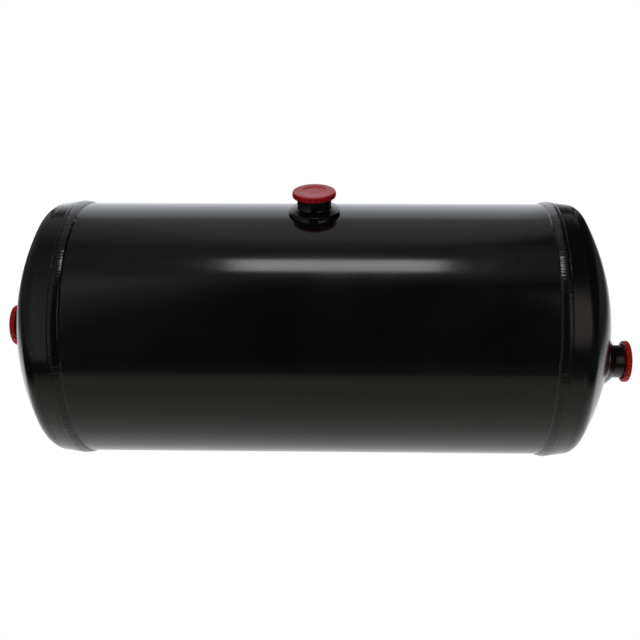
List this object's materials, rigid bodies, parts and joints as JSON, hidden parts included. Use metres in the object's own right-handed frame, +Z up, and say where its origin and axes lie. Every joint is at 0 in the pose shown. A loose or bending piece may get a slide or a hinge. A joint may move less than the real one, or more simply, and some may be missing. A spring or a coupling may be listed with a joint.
{
  "type": "air receiver tank",
  "caption": "Welded steel air receiver: cylindrical shell, dished heads, flanged threaded port bosses and push-in port caps.",
  "frame": {"origin": "on the tank's axis, midway between the two girth welds: the centre of the circle on which strap bands hold the shell", "axes": "+X along the tank's axis towards the head whose port sits furthest off the axis, +Z up through the shell's own port, +Y to the rear"},
  "size_m": [0.6134, 0.2504, 0.2688],
  "materials": {
    "tank_paint": "semi-gloss black paint over steel sheet, fine orange peel",
    "weld_paint": "semi-gloss black paint over a rippled weld bead",
    "boss_paint": "satin black paint over turned steel, bare thread inside",
    "cap_plastic": "satin red moulded polyethylene"
  },
  "bodies": {
    "tank": {"shell": "tank_paint", "left_head": "tank_paint", "right_head": "tank_paint", "left_girth_weld": "weld_paint", "right_girth_weld": "weld_paint", "shell_seam_weld": "weld_paint", "top_port_boss": "boss_paint", "left_port_boss": "boss_paint", "right_port_boss": "boss_paint", "top_port_weld": "weld_paint", "left_port_weld": "weld_paint", "right_port_weld": "weld_paint"},
    "top_cap": {"top_port_cap": "cap_plastic"},
    "left_cap": {"left_port_cap": "cap_plastic"},
    "right_cap": {"right_port_cap": "cap_plastic"}
  },
  "joints": [
    {"name": "top_cap_pull", "type": "slide", "parent": "tank", "child": "top_cap", "axis": [0, 0, 1], "range_m": [0, 0.03]},
    {"name": "left_cap_pull", "type": "slide", "parent": "tank", "child": "left_cap", "axis": [-1, 0, 0], "range_m": [0, 0.03]},
    {"name": "right_cap_pull", "type": "slide", "parent": "tank", "child": "right_cap", "axis": [1, 0, 0], "range_m": [0, 0.03]}
  ]
}
